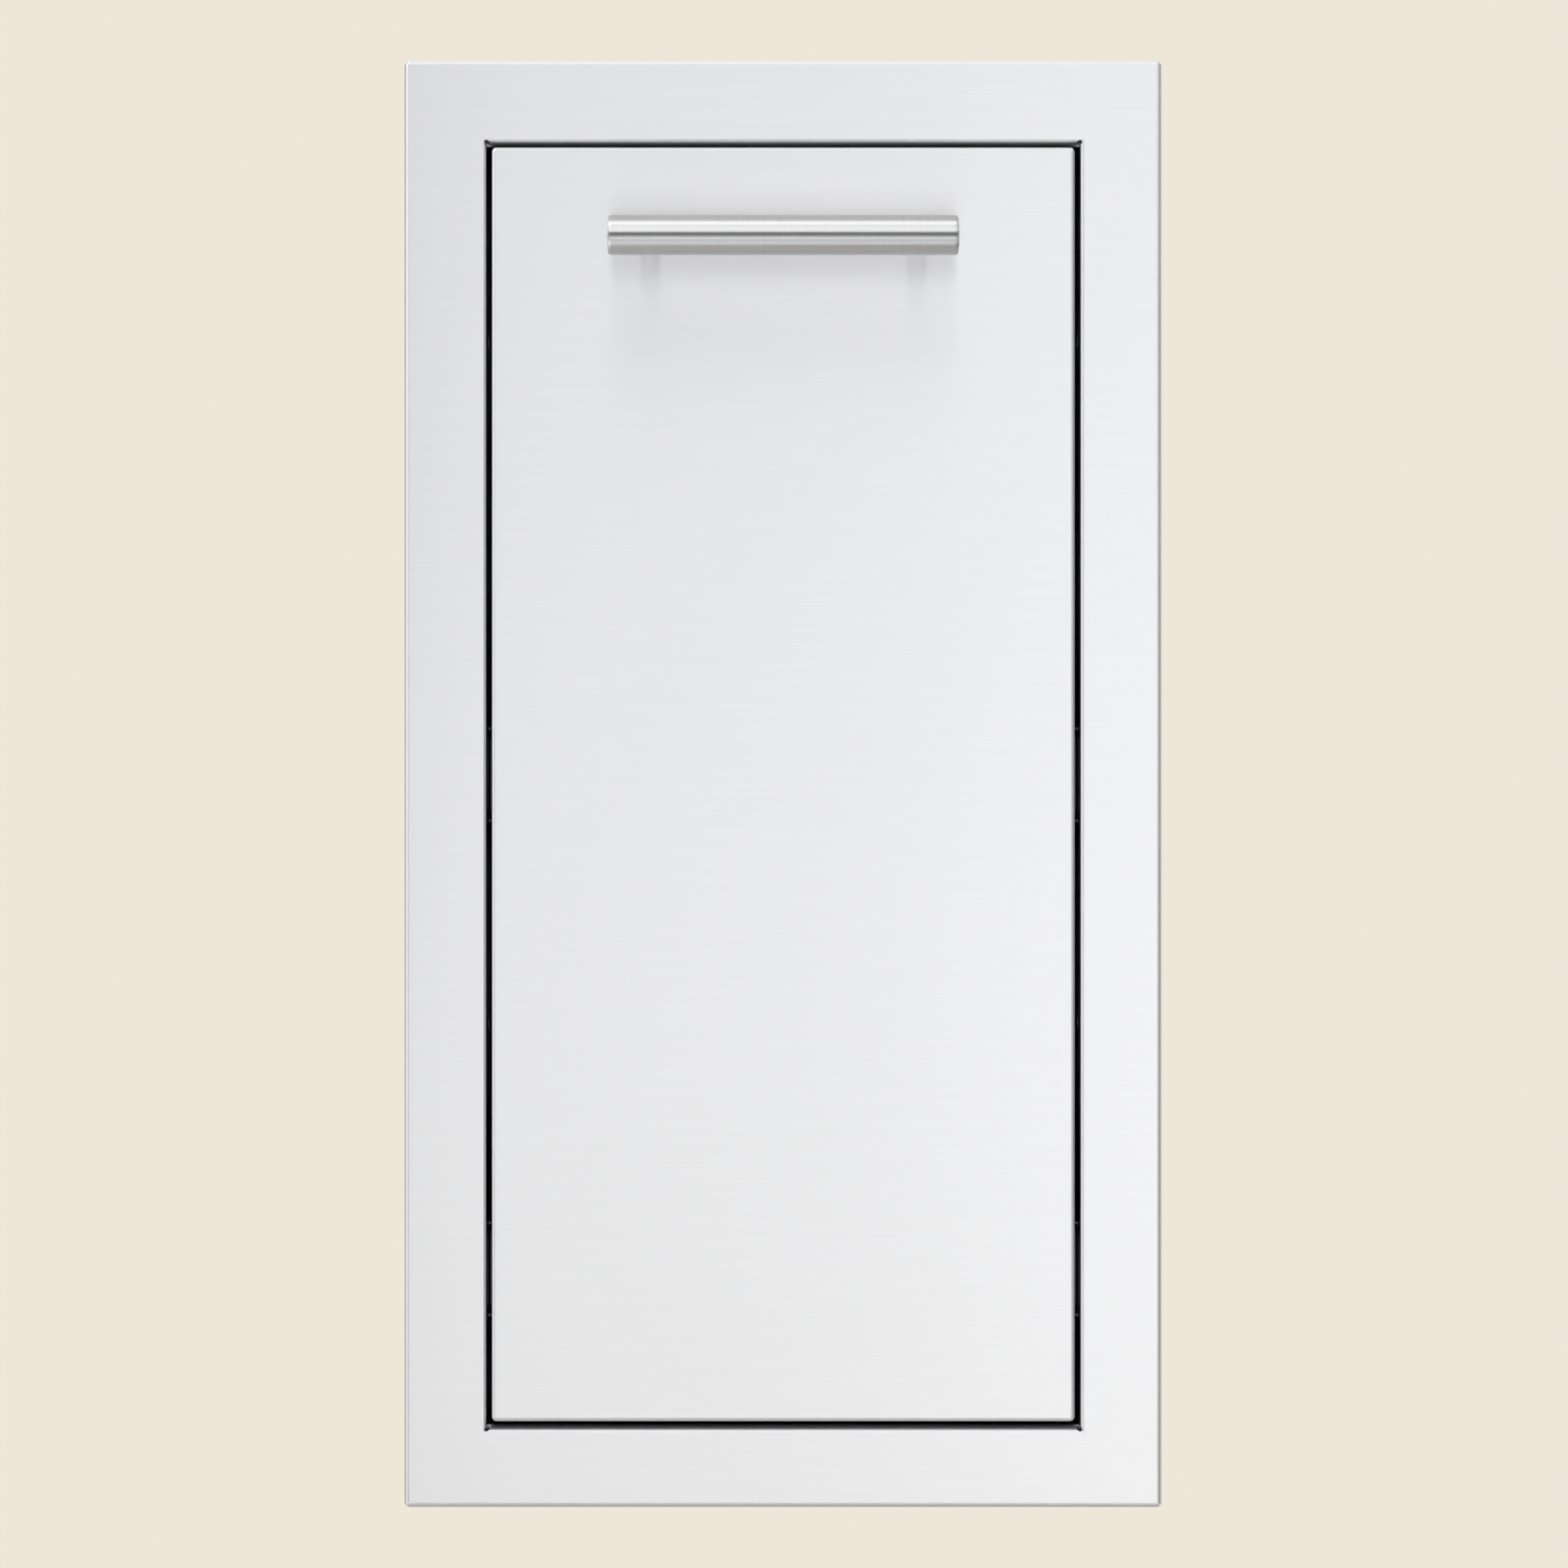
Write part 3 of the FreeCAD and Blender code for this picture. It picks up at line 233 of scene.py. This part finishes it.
def moulded(name, dark, light, roughness, depth):
    """Moulded rubber and plastics: a fine tooth and a faint cloudiness."""
    finish = Finish(name)
    cloud = finish.noise((60, 60, 60), detail=3.0)
    tooth = finish.noise((2200, 2200, 2200))
    finish.color(cloud, dark, light)
    finish.roughness(tooth, roughness, variation=0.1)
    finish.bump(tooth, depth)
    return finish


def rubber():
    finish = moulded(
        "rubber", dark=(0.022, 0.022, 0.022), light=(0.04, 0.04, 0.04), roughness=0.75, depth=20 * MICRON,
    )
    return finish.material


def plastic():
    finish = moulded(
        "plastic", dark=(0.05, 0.05, 0.054), light=(0.068, 0.068, 0.072), roughness=0.5, depth=10 * MICRON,
    )
    return finish.material


def nylon():
    finish = moulded(
        "nylon", dark=(0.76, 0.75, 0.70), light=(0.84, 0.83, 0.79), roughness=0.42, depth=6 * MICRON,
    )
    finish.set(subsurface_weight=0.15, subsurface_scale=0.002)
    return finish.material


def finishes():
    """One material for each of the record's slots."""
    return {
        "brushed_steel": face_steel(),
        "handle_steel": bar_steel(),
        "cabinet_steel": sheet_steel("cabinet_steel", (0.66, 0.67, 0.68), fine=(900, 12, 900)),
        "tray_steel": sheet_steel("tray_steel", (0.72, 0.72, 0.73), fine=(1100, 10, 1100)),
        "zinc_plate": zinc_plate(),
        "cage_steel": cage_steel(),
        "bearing_steel": bearing_steel(),
        "fastener_steel": fastener_steel(),
        "spindle_steel": turned_steel(),
        "bumper_rubber": rubber(),
        "plug_plastic": plastic(),
        "bush_plastic": nylon(),
    }


def dress():
    by_slot = finishes()
    for part in frame["record"]["subparts"]:
        piece = frame["nodes"][part["node"]]
        piece.data.materials.clear()
        piece.data.materials.append(by_slot[part["material_slot"]])


# Stage


def add_object(name, data):
    made = bpy.data.objects.new(name, data)
    bpy.context.scene.collection.objects.link(made)
    return made


def aim(thing, place, target):
    thing.location = place
    thing.rotation_euler = (target - place).to_track_quat("-Z", "Y").to_euler()


def direction(azimuth, elevation):
    """Unit vector from the front of the unit, azimuth turning to the right."""
    around, up = math.radians(azimuth), math.radians(elevation)
    return Vector((math.sin(around) * math.cos(up), -math.cos(around) * math.cos(up), math.sin(up)))


def softbox(name, azimuth, elevation, half_across, half_up, radiance, distance=LIGHT_DISTANCE):
    """A plain soft light in a direction from the unit, as wide and high as two half angles."""
    light = bpy.data.lights.new(name, "AREA")
    light.shape = "RECTANGLE"
    light.size = 2 * distance * math.tan(math.radians(half_across))
    light.size_y = 2 * distance * math.tan(math.radians(half_up))
    light.energy = math.pi * radiance * light.size * light.size_y
    lamp = add_object(name, light)
    lamp.visible_camera = False
    aim(lamp, TARGET + direction(azimuth, elevation) * distance, TARGET)


def wide_boxes():
    """Wide boxes above and below the camera, which the round bar shows as its light bands."""
    softbox("key_left", azimuth=-38, elevation=29, half_across=24, half_up=13, radiance=2.0)
    softbox("key_left_high", azimuth=-38, elevation=58, half_across=24, half_up=16, radiance=1.2)
    softbox("key_right", azimuth=38, elevation=29, half_across=24, half_up=13, radiance=1.6)
    softbox("key_right_high", azimuth=38, elevation=58, half_across=24, half_up=16, radiance=1.0)
    softbox("overhead", azimuth=0, elevation=85, half_across=45, half_up=14, radiance=1.0)
    softbox("fill_left", azimuth=-34, elevation=-22.5, half_across=25, half_up=13.5, radiance=1.0)
    softbox("fill_right", azimuth=34, elevation=-22.5, half_across=25, half_up=13.5, radiance=0.9)
    softbox("fill_left_low", azimuth=-34, elevation=-47, half_across=25, half_up=11, radiance=0.85)
    softbox("fill_right_low", azimuth=34, elevation=-47, half_across=25, half_up=11, radiance=0.75)


def front_column():
    """A narrow column round the camera, which is what the brushed flat front shows."""
    softbox("column_high", azimuth=2, elevation=34, half_across=8.5, half_up=8, radiance=0.6)
    softbox("column_upper", azimuth=2, elevation=20, half_across=8.5, half_up=6, radiance=1.2)
    softbox("column_middle", azimuth=2, elevation=8, half_across=8.5, half_up=6, radiance=0.9)
    softbox("column_lower", azimuth=2, elevation=-6, half_across=8.5, half_up=5.5, radiance=2.05)
    softbox(
        "column_low_card", azimuth=1, elevation=-14.5, half_across=13, half_up=5.5, radiance=1.5,
        distance=CARD_DISTANCE,
    )
    softbox("column_right_high", azimuth=5.5, elevation=28, half_across=3.5, half_up=14, radiance=0.15)
    softbox("column_right_low", azimuth=5.5, elevation=-20, half_across=3.5, half_up=11, radiance=0.25)


def side_boxes():
    """Side and back light for the folded edges and the cabinet."""
    softbox("left_high", azimuth=-84, elevation=44, half_across=30, half_up=16, radiance=1.5)
    softbox("left_middle", azimuth=-84, elevation=0, half_across=30, half_up=22, radiance=0.8)
    softbox("left_low", azimuth=-84, elevation=-42, half_across=30, half_up=18, radiance=1.8)
    softbox("right_side", azimuth=105, elevation=5, half_across=28, half_up=30, radiance=0.8)
    softbox("behind", azimuth=180, elevation=37, half_across=30, half_up=18, radiance=0.8)


def stage_mesh(name, corners, faces, material):
    mesh = bpy.data.meshes.new(name)
    mesh.from_pydata(corners, [], faces)
    mesh.materials.append(material)
    made = add_object(name, mesh)
    return made


def studio_shell():
    """The dark studio behind the soft lights, which the steel front sees and the camera doesn't."""
    finish = Finish("studio")
    finish.set(roughness=0.9)
    finish.color(finish.noise((0.6, 0.6, 0.6)), dark=(0.05, 0.05, 0.052), light=(0.07, 0.07, 0.072))
    corners = [
        TARGET + direction(azimuth, elevation) * SHELL_RADIUS
        for elevation in SHELL_ELEVATIONS
        for azimuth in SHELL_AZIMUTHS
    ]
    across = len(SHELL_AZIMUTHS)
    first_corners = [
        row * across + step for row in range(len(SHELL_ELEVATIONS) - 1) for step in range(across - 1)
    ]
    faces = [(first, first + 1, first + 1 + across, first + across) for first in first_corners]
    shell = stage_mesh("studio_shell", corners, faces, finish.material)
    shell.visible_camera = False


def floor():
    """A pale floor under the unit that thins out into the background towards its rim."""
    finish = Finish("floor")
    finish.set(roughness=0.8)
    finish.color(finish.noise((9, 9, 9), detail=4.0), dark=(0.53, 0.508, 0.478), light=(0.57, 0.545, 0.51))
    level = frame_low.z - FLOOR_DROP
    (left, front), (right, back) = FLOOR_CORNERS
    mapping = finish.add("ShaderNodeMapping", vector_type="TEXTURE")
    mapping.inputs["Location"].default_value = ((left + right) / 2, (front + back) / 2, level)
    mapping.inputs["Scale"].default_value = ((right - left) / 2, (back - front) / 2, 1.0)
    finish.link(finish.coordinates, mapping.inputs["Vector"])
    distance = finish.add("ShaderNodeVectorMath", operation="LENGTH")
    finish.link(mapping.outputs["Vector"], distance.inputs[0])
    fade = finish.add("ShaderNodeMapRange", interpolation_type="SMOOTHSTEP")
    fade.inputs["From Min"].default_value = FLOOR_GONE
    fade.inputs["From Max"].default_value = FLOOR_FULL
    finish.link(distance.outputs["Value"], fade.inputs["Value"])
    finish.link(fade.outputs["Result"], finish.shader.inputs["Alpha"])
    corners = [(left, front, level), (right, front, level), (right, back, level), (left, back, level)]
    stage_mesh("floor", corners, [(0, 1, 2, 3)], finish.material)


def surroundings():
    """The backdrop that the camera and the steel see, and the even light that reaches everything else."""
    world = bpy.data.worlds.new("studio")
    bpy.context.scene.world = world
    world.use_nodes = True
    nodes, links = world.node_tree.nodes, world.node_tree.links
    rays = nodes.new("ShaderNodeLightPath")
    seen = rays.outputs["Is Camera Ray"]
    for kind in ("Is Glossy Ray", "Is Transmission Ray"):
        either = nodes.new("ShaderNodeMath")
        either.operation = "MAXIMUM"
        links.new(seen, either.inputs[0])
        links.new(rays.outputs[kind], either.inputs[1])
        seen = either.outputs["Value"]
    lighting = nodes["Background"]
    lighting.inputs["Color"].default_value = WORLD_LIGHT
    lighting.inputs["Strength"].default_value = WORLD_STRENGTH
    backdrop = nodes.new("ShaderNodeBackground")
    backdrop.inputs["Color"].default_value = BACKGROUND
    mixer = nodes.new("ShaderNodeMixShader")
    links.new(seen, mixer.inputs["Fac"])
    links.new(lighting.outputs["Background"], mixer.inputs[1])
    links.new(backdrop.outputs["Background"], mixer.inputs[2])
    links.new(mixer.outputs["Shader"], nodes["World Output"].inputs["Surface"])


def camera():
    data = bpy.data.cameras.new("camera")
    data.sensor_width = SENSOR_WIDTH
    data.lens = SENSOR_WIDTH * CAMERA_DISTANCE / VIEW_WIDTH
    data.shift_x = VIEW_SHIFT
    viewer = add_object("camera", data)
    aim(viewer, TARGET + direction(0, 0) * CAMERA_DISTANCE, TARGET)
    bpy.context.scene.camera = viewer


bpy.context.scene.view_settings.view_transform = "Standard"
dress()
surroundings()
wide_boxes()
front_column()
side_boxes()
studio_shell()
floor()
camera()
